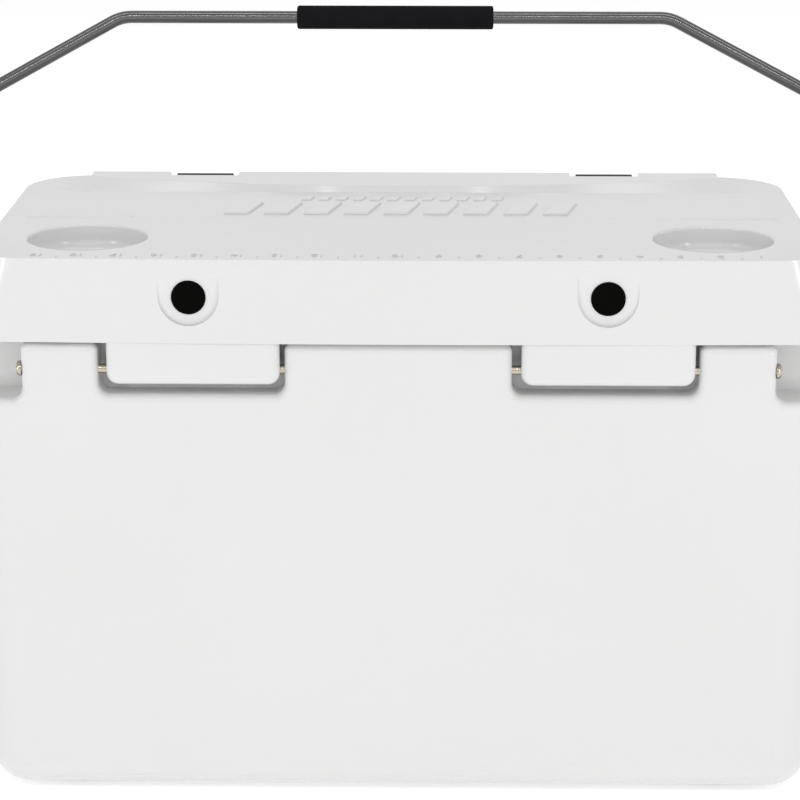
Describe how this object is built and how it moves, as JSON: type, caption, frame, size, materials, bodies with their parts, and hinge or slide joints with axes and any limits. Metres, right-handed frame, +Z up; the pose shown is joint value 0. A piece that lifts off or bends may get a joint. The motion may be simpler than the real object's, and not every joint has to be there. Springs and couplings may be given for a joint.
{
  "type": "cooler chest",
  "caption": "Insulated rotomoulded cooler chest with a hinged lid, rubber latches, cup holders, a ruler along the lid's edge and a steel bail handle.",
  "frame": {"origin": "middle of the footprint, on the ground", "axes": "+Z up, +Y towards the hinge side, +X along the length"},
  "size_m": [0.6152, 0.284, 0.4936],
  "materials": {
    "shell": "smooth rotomoulded polyethylene",
    "foam": "closed cell foam",
    "plug": "gloss",
    "nylon": "moulded nylon",
    "steel": "fine brushed",
    "brass": "machined",
    "rubber": "matt rubber",
    "seal": "matt rubber",
    "grip": "foam rubber"
  },
  "bodies": {
    "tub": {"tub_shell": "shell", "tub_foam": "foam", "tub_fill_plugs": "plug", "hinge_pin_left": "steel", "hinge_pin_right": "steel", "handle_bracket_left": "nylon", "handle_bracket_right": "nylon", "bracket_screws": "steel", "bracket_inserts": "brass", "pivot_bolts": "steel", "pivot_washers": "nylon", "feet": "rubber", "foot_screws": "steel"},
    "lid": {"lid_shell": "shell", "lid_foam": "foam", "lid_gasket": "seal", "lid_fill_plugs": "plug", "latch_pins": "steel"},
    "latch_left_body": {"latch_left": "rubber"},
    "latch_right_body": {"latch_right": "rubber"},
    "handle": {"handle_bail": "steel", "handle_grip": "grip"}
  },
  "joints": [
    {"name": "lid_hinge", "type": "hinge", "parent": "tub", "child": "lid", "pos_m": [0, 0.1295, 0.2965], "axis": [-1, 0, 0], "range_deg": [0, 105]},
    {"name": "latch_left_hinge", "type": "hinge", "parent": "lid", "child": "latch_left_body", "pos_m": [-0.1443, -0.1315, 0.3626], "axis": [-1, 0, 0], "range_deg": [0, 120]},
    {"name": "latch_right_hinge", "type": "hinge", "parent": "lid", "child": "latch_right_body", "pos_m": [0.1443, -0.1315, 0.3626], "axis": [-1, 0, 0], "range_deg": [0, 120]},
    {"name": "handle_hinge", "type": "hinge", "parent": "tub", "child": "handle", "pos_m": [0, 0, 0.2446], "axis": [1, 0, 0], "range_deg": [-168, 112]}
  ]
}
